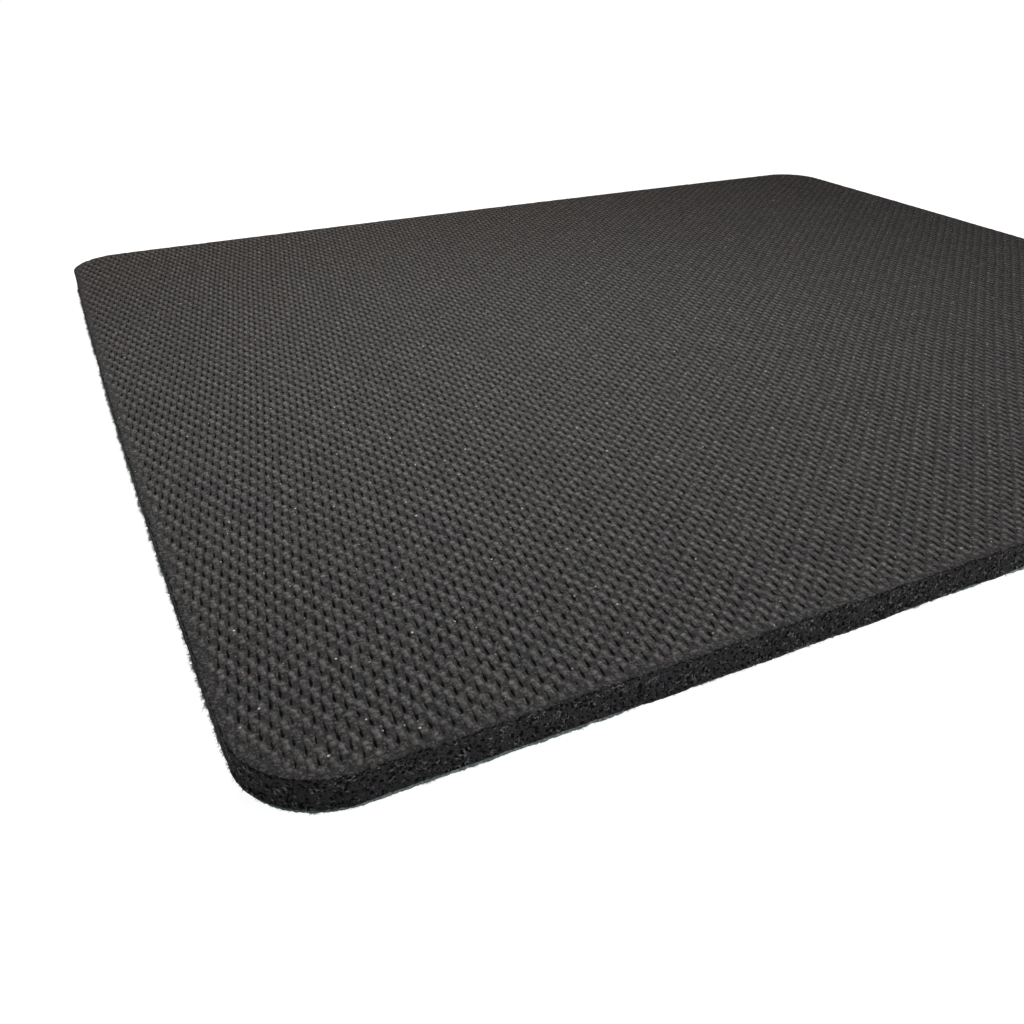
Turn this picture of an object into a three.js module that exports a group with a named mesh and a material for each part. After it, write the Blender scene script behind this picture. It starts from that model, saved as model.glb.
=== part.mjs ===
// A soft mouse pad, lying with its cloth working face down and its embossed rubber base up.
// It is a laminate of four sheets, cut to one rounded outline.
// Units are millimetres. X runs along the long side, Y along the short side, Z up,
// and the origin is at the middle of the cloth face.
import * as THREE from 'three';

// Outline of the pad. Its sides are drawn as gentle bows, furthest out at their middles
const padLength = 240;
const padWidth = 200;
const cornerRadius = 11;
const sideBow = 1.1;

// Thickness of each sheet, from the cloth up to the rubber base
const clothThickness = 0.5;
const filmThickness = 0.1;
const spongeThickness = 3.9;
const skinThickness = 0.5;

// The rim of the rubber base is rolled over a little where the die pressed it
const skinRimRound = 0.3;

// Facets in a quarter turn of an outline corner, along a bowed side, and over the rolled rim
const cornerFacets = 16;
const sideFacets = 12;
const rimFacets = 4;

// Heights of the faces where the sheets meet
const clothTop = clothThickness;
const filmTop = clothTop + filmThickness;
const spongeTop = filmTop + spongeThickness;
const skinTop = spongeTop + skinThickness;

// Moves a point of the straight-sided outline out to the bowed one
function bowed(point, halfLength, halfWidth) {
  const alongLength = point.x / halfLength;
  const alongWidth = point.y / halfWidth;
  return new THREE.Vector2(
    point.x + sideBow * alongLength * (1 - alongWidth ** 2),
    point.y + sideBow * alongWidth * (1 - alongLength ** 2),
  );
}

// Points round the pad's outline, drawn in by an inset on every side
function outlinePoints(inset) {
  const halfLength = padLength / 2 - sideBow - inset;
  const halfWidth = padWidth / 2 - sideBow - inset;
  const radius = cornerRadius - inset;
  const straight = new THREE.Vector2(halfLength - radius, halfWidth - radius);
  const corners = [[1, 1], [-1, 1], [-1, -1], [1, -1]];
  const points = [];
  corners.forEach(([signX, signY], turn) => {
    const centre = new THREE.Vector2(signX * straight.x, signY * straight.y);
    for (let step = 0; step <= cornerFacets; step += 1) {
      const angle = (Math.PI / 2) * (turn + step / cornerFacets);
      const spoke = new THREE.Vector2(Math.cos(angle), Math.sin(angle));
      points.push(spoke.multiplyScalar(radius).add(centre));
    }
    const start = points[points.length - 1];
    const mirror = turn % 2 === 0 ? [-1, 1] : [1, -1];
    const end = new THREE.Vector2(start.x * mirror[0], start.y * mirror[1]);
    for (let step = 1; step < sideFacets; step += 1) {
      points.push(start.clone().lerp(end, step / sideFacets));
    }
  });
  return points.map((point) => bowed(point, halfLength, halfWidth));
}

// A flat sheet of even thickness
function flatSheet(bottom, thickness) {
  const geometry = new THREE.ExtrudeGeometry(new THREE.Shape(outlinePoints(0)), {
    depth: thickness,
    bevelEnabled: false,
  });
  geometry.translate(0, 0, bottom);
  return geometry;
}

// The insets and heights of a sheet whose top rim is rounded, from its bottom edge up
function rimProfile(bottom, top, round) {
  const profile = [{ inset: 0, height: bottom }];
  for (let step = 0; step <= rimFacets; step += 1) {
    const angle = (Math.PI / 2) * (step / rimFacets);
    profile.push({
      inset: round * (1 - Math.cos(angle)),
      height: top - round * (1 - Math.sin(angle)),
    });
  }
  return profile;
}

// One closed outline of points at each step of a profile
function outlineRings(profile) {
  return profile.map(({ inset, height }) =>
    outlinePoints(inset).map((point) => new THREE.Vector3(point.x, point.y, height)));
}

// A sheet whose outline changes with its height, closed by a flat face below and above
function profiledSheet(profile) {
  const rings = outlineRings(profile);
  const count = rings[0].length;
  const positions = rings.flat().flatMap((point) => point.toArray());
  const indices = [];
  for (let ring = 0; ring + 1 < rings.length; ring += 1) {
    for (let i = 0; i < count; i += 1) {
      const next = (i + 1) % count;
      const lower = ring * count;
      const upper = lower + count;
      indices.push(lower + i, lower + next, upper + next);
      indices.push(lower + i, upper + next, upper + i);
    }
  }
  const lastRing = (rings.length - 1) * count;
  THREE.ShapeUtils.triangulateShape(rings[0], []).forEach(([a, b, c]) => {
    indices.push(c, b, a);
    indices.push(lastRing + a, lastRing + b, lastRing + c);
  });
  const geometry = new THREE.BufferGeometry();
  geometry.setAttribute('position', new THREE.Float32BufferAttribute(positions, 3));
  geometry.setIndex(indices);
  geometry.computeVertexNormals();
  return geometry;
}

function clothMaterial() {
  return new THREE.MeshStandardMaterial({ color: 0x5f8478, roughness: 0.95, metalness: 0 });
}

function filmMaterial() {
  return new THREE.MeshStandardMaterial({ color: 0xcfcbbf, roughness: 0.5, metalness: 0 });
}

function spongeMaterial() {
  return new THREE.MeshStandardMaterial({ color: 0x242426, roughness: 0.95, metalness: 0 });
}

function skinMaterial() {
  return new THREE.MeshStandardMaterial({ color: 0x3b3937, roughness: 0.75, metalness: 0 });
}

function namedMesh(name, geometry, material) {
  const mesh = new THREE.Mesh(geometry, material);
  mesh.name = name;
  return mesh;
}

function clothCover() {
  return namedMesh('cloth_cover', flatSheet(0, clothThickness), clothMaterial());
}

function bondingFilm() {
  return namedMesh('bonding_film', flatSheet(clothTop, filmThickness), filmMaterial());
}

function spongeCore() {
  return namedMesh('sponge_core', flatSheet(filmTop, spongeThickness), spongeMaterial());
}

// The rolled rim stays within the sheet's thickness and the corner's radius
function gripSkin() {
  const round = Math.min(skinRimRound, skinThickness, cornerRadius / 2);
  const profile = rimProfile(spongeTop, skinTop, round);
  return namedMesh('grip_skin', profiledSheet(profile), skinMaterial());
}

const group = new THREE.Group();
group.name = 'mouse_pad';
group.add(clothCover(), bondingFilm(), spongeCore(), gripSkin());

export default group;
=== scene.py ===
"""A soft mouse pad, lying face down with its embossed rubber base up.

Shapes are worked out in millimetres, in the frame of the CAD model, and the
meshes are written in metres. Four pieces stand for the sheets of that model, and
a fringe of fibres goes with the cloth. A layer of noise is written as its reach,
the size of its grains and a salt that sets it apart from the others. Names with
OVER hold the start and end of a ramp. Colours are linear.
"""

import bpy
import numpy as np
from mathutils import Matrix, Vector


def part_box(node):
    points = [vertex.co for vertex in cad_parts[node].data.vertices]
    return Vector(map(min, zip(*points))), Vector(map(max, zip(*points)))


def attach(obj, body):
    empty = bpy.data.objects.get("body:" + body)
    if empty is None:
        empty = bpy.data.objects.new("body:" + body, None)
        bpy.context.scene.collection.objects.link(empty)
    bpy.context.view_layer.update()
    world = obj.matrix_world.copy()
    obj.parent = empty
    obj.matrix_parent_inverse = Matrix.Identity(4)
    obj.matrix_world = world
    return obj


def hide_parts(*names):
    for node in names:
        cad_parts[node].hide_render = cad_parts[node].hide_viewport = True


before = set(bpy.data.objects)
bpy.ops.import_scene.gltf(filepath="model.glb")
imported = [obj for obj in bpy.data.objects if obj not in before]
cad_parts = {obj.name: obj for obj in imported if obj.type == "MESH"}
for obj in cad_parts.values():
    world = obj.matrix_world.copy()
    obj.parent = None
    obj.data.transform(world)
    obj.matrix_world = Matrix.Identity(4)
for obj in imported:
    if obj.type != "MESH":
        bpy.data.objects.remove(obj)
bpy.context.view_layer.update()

MM = 0.001

# The sheets' levels, read from the CAD model
CLOTH_BOX, SPONGE_BOX, SKIN_BOX = (
    [Vector(corner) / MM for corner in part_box(node)]
    for node in ("cloth_cover", "sponge_core", "grip_skin")
)
PAD_LENGTH = SKIN_BOX[1].x - SKIN_BOX[0].x
PAD_WIDTH = SKIN_BOX[1].y - SKIN_BOX[0].y
PAD_TOP = SKIN_BOX[1].z
SKIN_BOTTOM = SKIN_BOX[0].z
SPONGE_BOTTOM = SPONGE_BOX[0].z
CLOTH_TOP = CLOTH_BOX[1].z

# The outline, as in the CAD model: straight sides and round corners, then bowed out
CORNER_RADIUS = 11.0
SIDE_BOW = 1.1
HALF_LENGTH = PAD_LENGTH / 2 - SIDE_BOW
HALF_WIDTH = PAD_WIDTH / 2 - SIDE_BOW
FLAT_X = HALF_LENGTH - CORNER_RADIUS
FLAT_Y = HALF_WIDTH - CORNER_RADIUS
QUARTER = CORNER_RADIUS * np.pi / 2
RIM_PARTS = np.array([2 * FLAT_Y, QUARTER, 2 * FLAT_X, QUARTER] * 2)
RIM_STARTS = np.concatenate([[0], np.cumsum(RIM_PARTS)])
RIM_LENGTH = RIM_STARTS[-1]

# The emboss: columns of crests along Y, each column set lower than the one before
PITCH = 0.73
REPEAT = 4.88
SHIFT = -1.83
LEAN = -0.019
LEAN_FADE = 25.0
CREST_DROP = 0.11
SWAY_ACROSS = 0.05
SWAY_ALONG = 0.16

# A crest has a waist, tapers to its head, and slopes down at its head, foot and flanks
CREST_HALF = 0.40
CREST_OFFSET = 0.03
CREST_FLANK = 0.15
WAIST_DEPTH = 0.07
WAIST_HALF = 0.25
TAPER_DEPTH = 0.22
TAPER_START = 0.6
CREST_HEAD = 1.2
HEAD_SLOPE = 0.5
CREST_FOOT = 0.92
FOOT_SLOPE = 0.2

# Soft hills on a crest: the place of each one's top and its spread, across and along,
# then its height and what chance adds to that
HEAD_KNOT = (0.0, 0.45, 0.28, 0.26, 0.75, 0.5)
FOOT_KNOT = (0.10, -0.52, 0.30, 0.22, 0.6, 0.7)
# The next two only colour a crest: painted highlight streaks at its head and foot
HEAD_GLINT = (0.04, 0.50, 0.34, 0.15, 0.7, 0.6)
FOOT_GLINT = (0.20, -0.30, 0.14, 0.30, 0.35, 0.5)

# The salts of seven chances that set the crests apart, and the least shares that they and
# the hills leave of a crest, the painted highlights at its ends and its slit
CREST_SALTS = range(31, 38)
LEAST_KNOT, LEAST_LIFT, LEAST_GLINT, LEAST_SLIT = 0.45, 0.45, 0.5, 0.55
SLIT_SINKS_OVER = (0, 0.7)

# A slit runs down beside each crest, and opens, bends and blots on its way
SLIT_DEPTH = 0.22
SLIT_PLACE = -0.575
SLIT_LEAN = 0.125
SLIT_HEAD = 0.25
SLIT_LENGTH = 2.0
SLIT_SLIDE = 0.25
SLIT_BEND = 0.16
SLIT_HALF = 0.034
SLIT_OPENS = 0.04
SLIT_BLOT = 0.08
SLIT_BRIM = 0.05
SLIT_WALL = 0.09
SLIT_START, SLIT_START_DROP, SLIT_START_SLOPE = 0.45, 0.5, 0.25
SLIT_FOOT_OVER = (-1.85, -1.45)
SLIT_OPENS_OVER, SLIT_BENDS_OVER, SLIT_BLOTS_OVER = (0.35, 0.6), (0.6, 1.0), (0.5, 0.7)
SLIT_UNBENT = 0.3
LEAST_OPENED = 0.6
SLIT_RAGGED = ((0.03, 0.7, 38),)

# The mesh of the skin's face: rows, and columns of which three follow each slit
ROWS_PER_REPEAT = 16
ROW_START = 0.14
SLIT_SPREAD = 0.06
COLUMN_PLACES = (-SLIT_SPREAD, 0.0, SLIT_SPREAD, 0.21, 0.36, 0.52)
LINE_GAP = 0.07

# How the skin's face differs from an even print, and how that fades near its rim
PRINT_FADES_OVER = (0.2, 1.7)
SLIT_FADES_OVER = (0.7, 2.6)
SLIT_LINES_FADE = 1.5
PRINT_EDGE = ((0.3, 6.0, 51), (0.25, 1.6, 52))
CREST_FULLNESS = 0.85
CREST_VARIES = ((0.17, 3.2, 53), (0.21, 0.8, 54))
BARE_DROP = 0.03
SKIN_GRAIN = ((0.03, 0.42, 55),)
LEAST_GRAIN = 0.4
SKIN_SWELL = ((0.05, 31.0, 56),)
SWELL_FADE = 10.0
SKIN_PROUD = 0.05
DRIFT_X = ((0.22, 31.0, 41), (0.05, 6.0, 42))
DRIFT_Y = ((0.35, 34.0, 43), (0.08, 7.0, 44))
DRIFT_FADE = 12.0

# The skin's torn rim, which rolls over to the seam with the sponge. For each loop of its
# mesh there is a share of the turn, and how much its rubber is cut
RIM_ROLL = 0.16
RIM_FALL = 0.05
RIM_FALL_REACH = 1.6
NIBBLE = 0.13
NIBBLE_REACH = 0.9
NIBBLE_VARIES = ((0.6, 2.3, 57), (1.0, 0.7, 58), (1.0, 0.3, 59))
NIBBLE_SEAM_SHARE = 0.4
RIM_LOOPS = ((0.3, 0.3), (0.6, 0.45), (0.85, 0.65), (1.0, 0.9))
RIM_TURN_SHARE = 0.93
FACE_CUT_SHARE = 0.2
SEAM_DROP = 0.22
SEAM_WANDERS = ((0.05, 2.6, 11), (0.10, 0.7, 12), (0.09, 0.35, 13))
SEAM_INSET = 0.02
UNDER_INSETS = (0.6, 1.2)
UNDER_GAP = 0.05

# Unevenness of the die-cut edge, and where the sponge hangs over the cloth
EDGE_VARIES = ((0.07, 9.0, 61), (0.05, 2.0, 62), (0.03, 0.7, 63))
HANG_PATCHES = ((1.0, 17.0, 11621), (0.6, 5.0, 1172))
HANG_OVER = (0.0, 0.9)

# The sponge's cut edge, with raised grains, a hanging hem and pits of two kinds, each
# written as their size and a salt
SPONGE_COLUMNS = 7680
SPONGE_ROWS = 38
SPONGE_GAP = 0.01
SPONGE_INSET = 0.02
SPONGE_WAIST = 0.10
SPONGE_SWELL = ((0.07, 1.7, 81),)
SPONGE_FADE_SHARE = 0.04
SPONGE_CAP = 0.5
HEM_DROP = 0.06
HEM_HANG = 0.40
HEM_VARIES = ((0.05, 0.8, 86), (0.08, 0.35, 87))
LARGE_PITS, SMALL_PITS = (0.60, 71), (0.36, 75)
LARGE_HOLLOW, LARGE_HOLLOW_OVER = 0.9, (0.4, 0.6)
SMALL_HOLLOW, SMALL_HOLLOW_OVER = 0.75, (0.2, 0.45)
PIT_DEPTH = 0.26
PIT_BENDS = ((0.12, 0.3, 83),)
PIT_SHIFTS = ((0.12, 0.3, 84),)
LIP_PATCHES = ((1.0, 0.5, 85),)
LIP_PATCH_OVER = (-0.1, 0.5)
LIP_HEIGHT, SMALL_LIP = 1.2, 0.9
GRAIN_HEIGHT = 0.07
GRAIN_SHAPE = ((0.5, 0.42, 79), (0.5, 0.2, 80))
GRAIN_GOES_OVER = (0.05, 0.35)

# The film of glue between sponge and cloth
FILM_COLUMNS = 960
FILM_INSET = 0.42
FILM_VARIES = ((0.10, 1.4, 91),)
FILM_ROUND = 0.03
FILM_GAP = 0.005
FILM_BEVEL = 0.02
FILM_CAP = 1.5

# The cloth's cut edge. Each loop of its mesh has a share of the height and a tuck
CLOTH_COLUMNS = 5760
CLOTH_GAP = 0.005
CLOTH_INSET = -0.05
CLOTH_COVERED = 0.25
CLOTH_STEP = 0.03
CLOTH_STEPS = ((4.0, 0.75, 95),)
CLOTH_VARIES = ((0.07, 0.33, 96),)
CLOTH_THREADS = ((0.04, 0.5, 97),)
THREADS_APART = 40
CLOTH_LOOPS = (
    (1, 0.30), (0.97, 0.10), (0.85, 0.0), (0.6, 0.04), (0.35, 0.0), (0.12, 0.06), (0.0, 0.22),
)
CLOTH_CAP = 0.5
CURL = 0.07
CURL_HIGHEST = 0.25
CURL_STEPS = ((3.0, 0.9, 98),)
CURL_VARIES = ((0.08, 0.33, 99),)

# Cut fibres of the cloth, many of them in tufts. Each one is a thin tapered tube, whose
# sections have a share of its length and a share of its radius
FIBRES = 14000
FIBRE_SEED = 2411
FIBRE_PLACES = 8192
TUFTS = 420
TUFT_SPREAD = 4
TUFT_SHARE = 0.5
TUFT_LENGTHENS = 1.4
BURIED_SHARE = 0.55
ROOT_INSET = 0.03
ROOT_COVERED = 0.12
ROOT_LOWEST = 0.03
ROOT_BELOW_TOP = 0.06
FIBRE_LOG_LENGTH = -2.2
FIBRE_LOG_SPREAD = 0.35
FIBRE_SHORTEST, FIBRE_LONGEST = 0.06, 0.28
FIBRE_THINNEST, FIBRE_THICKEST = 0.020, 0.038
FIBRE_LOWEST = 0.01
BACK_LENGTHENS, BACK_OVER = 1.2, (-0.7, -0.1)
SWAY_ASIDE, CURL_ASIDE = 0.6, 0.5
SWAY_UP, CURL_UP = (-0.05, 0.35), (-0.05, 0.3)
FIBRE_SECTIONS = ((0, 1.0), (0.35, 0.95), (0.7, 0.8))
FIBRE_SIDES = np.radians((90, 210, 330))

# The stage: the floor, the room's light, and lamps with their place, their aim, their
# size, their power in watts and their colour
FLOOR_HALF = 6000.0
FLOOR_LEVEL = -0.01
FLOOR_GREY = (0.8, 0.8, 0.8)
SEEN_FLOOR_GREY = (0.4, 0.4, 0.4)
SEEN_FLOOR_GLOW = 0.94
WHITE = (1.0, 1.0, 1.0)
ROOM_COLOUR = (0.95, 0.97, 1.0)
ROOM_STRENGTH = 0.15
LAMPS = {
    "key": ((-52, -6, 160), (-42, 4, 0), (140, 110), 0.251, (0.99, 1.0, 0.985)),
    "back": ((-80, 235, 140), (-50, 70, 0), (200, 100), 0.13, (1.0, 0.72, 0.46)),
    "fill": ((330, -330, 170), (10, -100, 0), (250, 180), 0.76, (1.0, 0.94, 0.94)),
}

# The photograph's camera, fitted to the pad's outline: its place and directions, its lens
# and sensor in millimetres, and the nearest and furthest that it sees in metres
CAMERA_PLACE = (-123.632, -165.845, 77.630)
CAMERA_RIGHT = (0.896350, -0.443330, 0.003150)
CAMERA_FORWARD = (0.378020, 0.760550, -0.527890)
LENS = 33.026
SENSOR_WIDTH = 36.0
NEAREST_SEEN, FURTHEST_SEEN = 0.005, 20.0


# Noise

# Large numbers that scatter the bits of two whole numbers and a salt
SCATTER_I, SCATTER_J, SCATTER_SALT = 73856093, 19349663, 83492791
SCATTER_ONCE, SCATTER_TWICE = 1274126177, 668265263
LOW_32_BITS, LOW_24_BITS = 0xFFFFFFFF, 0xFFFFFF


def chance(i, j, salt):
    """An even random number from 0 to 1 for each pair of whole numbers."""
    mixed = i.astype(np.int64) * SCATTER_I ^ j.astype(np.int64) * SCATTER_J
    mixed = mixed ^ salt * SCATTER_SALT
    mixed = (mixed ^ (mixed >> 13)) * SCATTER_ONCE & LOW_32_BITS
    mixed = (mixed ^ (mixed >> 15)) * SCATTER_TWICE & LOW_32_BITS
    return ((mixed ^ (mixed >> 16)) & LOW_24_BITS) / LOW_24_BITS


def smooth(share):
    share = np.clip(share, 0, 1)
    return share * share * (3 - 2 * share)


def ramp(value, start, end):
    """Rises smoothly from 0 at start to 1 at end."""
    return smooth((value - start) / (end - start))


def at_least(low, share):
    """Brings a share from 0 to 1 up to between a low value and 1."""
    return low + (1 - low) * share


def soft_noise(x, y, grain, salt):
    """Smooth noise from -1 to 1, whose features are about a grain wide."""
    u, v = x / grain, y / grain
    i, j = np.floor(u), np.floor(v)
    u, v = smooth(u - i), smooth(v - j)
    low = chance(i, j, salt) * (1 - u) + chance(i + 1, j, salt) * u
    high = chance(i, j + 1, salt) * (1 - u) + chance(i + 1, j + 1, salt) * u
    return 2 * (low * (1 - v) + high * v) - 1


def layered(x, y, layers):
    """A sum of layers of noise, each given as its reach, grain and salt."""
    return sum(reach * soft_noise(x, y, grain, salt) for reach, grain, salt in layers)


# Pits are scattered by a share of their cells, and have radii in shares of a cell. A lip's
# place and width are shares of the radius. The powers make more of the pits small, and
# their walls steep
PIT_SCATTER_SHARE = 0.8
PIT_SMALLEST_SHARE, PIT_LARGEST_SHARE = 0.18, 0.52
LIP_PLACE_SHARE, LIP_WIDTH_SHARE = 1.2, 0.4
PIT_SIZE_POWER, PIT_WALL_POWER = 1.5, 0.6


def pits(around, up, size, salt):
    """Depths of round pits, about a size apart, and of the lips round them, each from 0 to 1.

    They lie on a band that closes on itself after the length of the rim."""
    cells_round = round(RIM_LENGTH / size)
    spacing = RIM_LENGTH / cells_round
    u, v = around / spacing, up / spacing
    i, j = np.floor(u), np.floor(v)
    deepest, lip = np.zeros_like(u), np.zeros_like(u)
    for near_i in (-1, 0, 1):
        for near_j in (-1, 0, 1):
            a, b = i + near_i, j + near_j
            cell = np.mod(a, cells_round)
            from_u = a + 0.5 + PIT_SCATTER_SHARE * (chance(cell, b, salt) - 0.5) - u
            from_v = b + 0.5 + PIT_SCATTER_SHARE * (chance(cell, b, salt + 1) - 0.5) - v
            growth = chance(cell, b, salt + 2) ** PIT_SIZE_POWER
            radius = PIT_SMALLEST_SHARE + (PIT_LARGEST_SHARE - PIT_SMALLEST_SHARE) * growth
            reach = np.sqrt(from_u ** 2 + from_v ** 2) / radius
            bowl = np.clip(1 - reach ** 2, 0, 1) ** PIT_WALL_POWER
            brim = np.clip(1 - np.abs(reach - LIP_PLACE_SHARE) / LIP_WIDTH_SHARE, 0, 1)
            deepest = np.maximum(deepest, bowl * radius / PIT_LARGEST_SHARE)
            lip = np.maximum(lip, brim * radius / PIT_LARGEST_SHARE)
    return deepest, lip


# The outline

def bowed(x, y):
    """Moves points of the straight-sided outline out to the bowed one."""
    along, across = x / HALF_LENGTH, y / HALF_WIDTH
    out_x = x + SIDE_BOW * along * np.clip(1 - across ** 2, 0, 1)
    out_y = y + SIDE_BOW * across * np.clip(1 - along ** 2, 0, 1)
    return out_x, out_y


def around_rim(count):
    """Even steps round the straight-sided outline, as lengths from its start."""
    return np.arange(count) * RIM_LENGTH / count


def rim(count):
    """Points and outward normals at even steps round the straight-sided outline."""
    around = around_rim(count)
    part = np.clip(np.searchsorted(RIM_STARTS, around, side="right") - 1, 0, len(RIM_PARTS) - 1)
    along = (around - RIM_STARTS[part]) / RIM_PARTS[part]
    side, curved = part // 2, part % 2 == 1
    turn = side * np.pi / 2 + np.where(curved, along * np.pi / 2, 0)
    normal = np.stack([np.cos(turn), np.sin(turn)], 1)
    corner_x = np.array([1, -1, -1, 1])[side] * FLAT_X
    corner_y = np.array([1, 1, -1, -1])[side] * FLAT_Y
    back = np.where(curved, 0, (1 - along) * RIM_PARTS[part])
    x = corner_x + CORNER_RADIUS * normal[:, 0] + back * normal[:, 1]
    y = corner_y + CORNER_RADIUS * normal[:, 1] - back * normal[:, 0]
    return x, y, normal


def ring(x, y, normal, inset, height):
    """One loop of points, drawn in from the outline and set at a height."""
    at_x, at_y = bowed(x - normal[:, 0] * inset, y - normal[:, 1] * inset)
    return np.stack([at_x, at_y, np.broadcast_to(height, at_x.shape)], 1)


def distance_to_rim(x, y):
    """How far points of the straight-sided outline lie inside it."""
    from_x, from_y = np.abs(x) - FLAT_X, np.abs(y) - FLAT_Y
    outside = np.hypot(np.maximum(from_x, 0), np.maximum(from_y, 0))
    return CORNER_RADIUS - outside - np.minimum(np.maximum(from_x, from_y), 0)


def outward(x, y):
    """Directions straight out of the outline, at points near it."""
    spoke_x = np.clip(np.abs(x) - FLAT_X, 0, None) * np.sign(x)
    spoke_y = np.clip(np.abs(y) - FLAT_Y, 0, None) * np.sign(y)
    spoke = np.stack([spoke_x, spoke_y], 1)
    return spoke / np.maximum(np.hypot(spoke_x, spoke_y), 1e-9)[:, None]


def seam_height(x, y):
    """Where the skin meets the sponge at the cut edge, which wanders up and down."""
    return PAD_TOP - SEAM_DROP + layered(x, y, SEAM_WANDERS)


def sponge_hang(x, y):
    """How far the sponge hangs over the edge of the cloth, from 0 to 1."""
    return ramp(layered(x, y, HANG_PATCHES), *HANG_OVER)


def edge_jitter(x, y):
    """Unevenness of the die-cut edge, the same for skin, sponge and cloth."""
    return layered(x, y, EDGE_VARIES)


# Meshes

def mesh_piece(name, points, faces, maps, attributes):
    """A piece from points in millimetres and arrays of faces with equally many corners.

    The maps hold each corner's place on the map named OFBake."""
    mesh = bpy.data.meshes.new(name)
    mesh.vertices.add(len(points))
    mesh.vertices.foreach_set("co", (np.asarray(points) * MM).astype(np.float32).ravel())
    corners = np.concatenate([f.ravel() for f in faces]).astype(np.int32)
    counts = np.concatenate([np.full(len(f), f.shape[1]) for f in faces])
    mesh.loops.add(len(corners))
    mesh.loops.foreach_set("vertex_index", corners)
    mesh.polygons.add(len(counts))
    starts = np.concatenate([[0], np.cumsum(counts)[:-1]]).astype(np.int32)
    mesh.polygons.foreach_set("loop_start", starts)
    mesh.update(calc_edges=True)
    mesh.shade_smooth()
    for key, values in attributes.items():
        layer = mesh.attributes.new(key, "FLOAT", "POINT")
        layer.data.foreach_set("value", values.astype(np.float32))
    layer = mesh.uv_layers.new(name="OFBake")
    uv = np.concatenate([m.reshape(-1, 2) for m in maps])
    layer.uv.foreach_set("vector", uv.astype(np.float32).ravel())
    piece = bpy.data.objects.new(name, mesh)
    bpy.context.scene.collection.objects.link(piece)
    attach(piece, "root")
    return piece


def walls(loops):
    """Walls of quads between loops of point numbers, each loop further down than the last."""
    return [
        np.stack([first, second, np.roll(second, -1), np.roll(first, -1)], 1)
        for first, second in zip(loops[:-1], loops[1:])
    ]


# Areas of the bake's map, as left, bottom, width and height
WHOLE_MAP = (0.01, 0.03, 0.98, 0.96)
FACE_MAP = (0.005, 0.005, 0.99, 0.83)
EDGE_MAP = (0.01, 0.85, 0.98, 0.12)
HIDDEN_MAP = (0.01, 0.975, 0.02, 0.016)
HIDDEN_CORNER = (0.01, 0.005, 0.02, 0.016)
MAP_MARGIN = 2.0

# A band round the rim is cut into lanes on the map, which fill a share of their height
EDGE_LANES = 4
WHOLE_LANES = 16
LANE_SHARE = 0.95

# The points of a fibre lie this far apart on the map, in the sides of its square
SPOT_STEP, SPOT_START = 0.25, 0.12


def on_face(points, area):
    """Places on the bake's map for points seen straight on, all within an area of it."""
    left, low, width, height = area
    u = 0.5 + points[:, 0] / (PAD_LENGTH + 2 * MAP_MARGIN)
    v = 0.5 + points[:, 1] / (PAD_WIDTH + 2 * MAP_MARGIN)
    return np.stack([left + width * u, low + height * v], 1)


def in_lanes(count, number, lanes, area):
    """Places for a number of walls of quads, one below another, in lanes of an area."""
    left, low, width, height = area
    per_lane = -(-count // lanes)
    lane, step = np.divmod(np.arange(count), per_lane)
    u = (step[:, None] + np.array([[0, 0, 1, 1]])) / per_lane
    maps = []
    for k in range(number):
        down = np.array([[k, k + 1, k + 1, k]]) / number
        v = (lane[:, None] + LANE_SHARE * down) / lanes
        maps.append(np.stack([left + width * u, low + height * v], 2))
    return maps


# The emboss

def hill(u, v, luck, at_u, at_v, wide, long, height, varies):
    """A soft round hill, whose height varies with a chance from 0 to 1."""
    shape = np.exp(-((u - at_u) / wide) ** 2 - ((v - at_v) / long) ** 2)
    return (height + varies * luck) * shape


def crest_body(u, v):
    """How full a crest is at a place across and along it, from 0 to 1."""
    half = CREST_HALF - WAIST_DEPTH * np.exp(-(v / WAIST_HALF) ** 2)
    half = half - TAPER_DEPTH * ramp(v, TAPER_START, CREST_HEAD)
    ends = ramp(v + CREST_FOOT, 0, FOOT_SLOPE) * ramp(CREST_HEAD - v, 0, HEAD_SLOPE)
    return ramp(half - np.abs(u - CREST_OFFSET), 0, CREST_FLANK) * ends


def slit_side(v):
    """How far a slit's line lies to the side of its place, along the repeat."""
    phase = np.mod(v - SLIT_HEAD, REPEAT)
    return SLIT_LEAN * np.interp(phase, [0, REPEAT - SLIT_LENGTH, REPEAT], [1, -1, 1])


def along_slits(x, y):
    """How far the mesh's lines are bent to the side, so that three of them follow each slit."""
    pitches = (x - SLIT_PLACE) / PITCH
    column = np.floor(pitches)
    spread = SLIT_SPREAD / PITCH
    share = np.clip((pitches - column - spread) / (1 - 2 * spread), 0, 1)
    left, right = (slit_side(y - (column + k) * SHIFT) for k in (0, 1))
    return left + (right - left) * share


def slit_cut(u, v, ragged, slide, bend, blot):
    """How deep the slit beside a crest is, from 0 to 1. The last three are its chances."""
    v = v + SLIT_SLIDE * (slide - 0.5)
    down = np.clip((SLIT_HEAD - v) / SLIT_LENGTH, 0, 1)
    opened = ramp(down, *SLIT_OPENS_OVER)
    bent = SLIT_BEND * (bend - SLIT_UNBENT) * ramp(down, *SLIT_BENDS_OVER)
    middle = SLIT_PLACE + slit_side(v) + bent + ragged
    blotted = SLIT_BLOT * blot ** 3 * ramp(down, *SLIT_BLOTS_OVER)
    half = SLIT_HALF + SLIT_OPENS * opened + blotted
    start = ramp(SLIT_START - SLIT_START_DROP * blot - v, 0, SLIT_START_SLOPE)
    ends = ramp(v, *SLIT_FOOT_OVER) * start
    cut = ramp(half + SLIT_BRIM - np.abs(u - middle), 0, SLIT_WALL) * ends
    return cut * at_least(LEAST_OPENED, opened)


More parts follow.
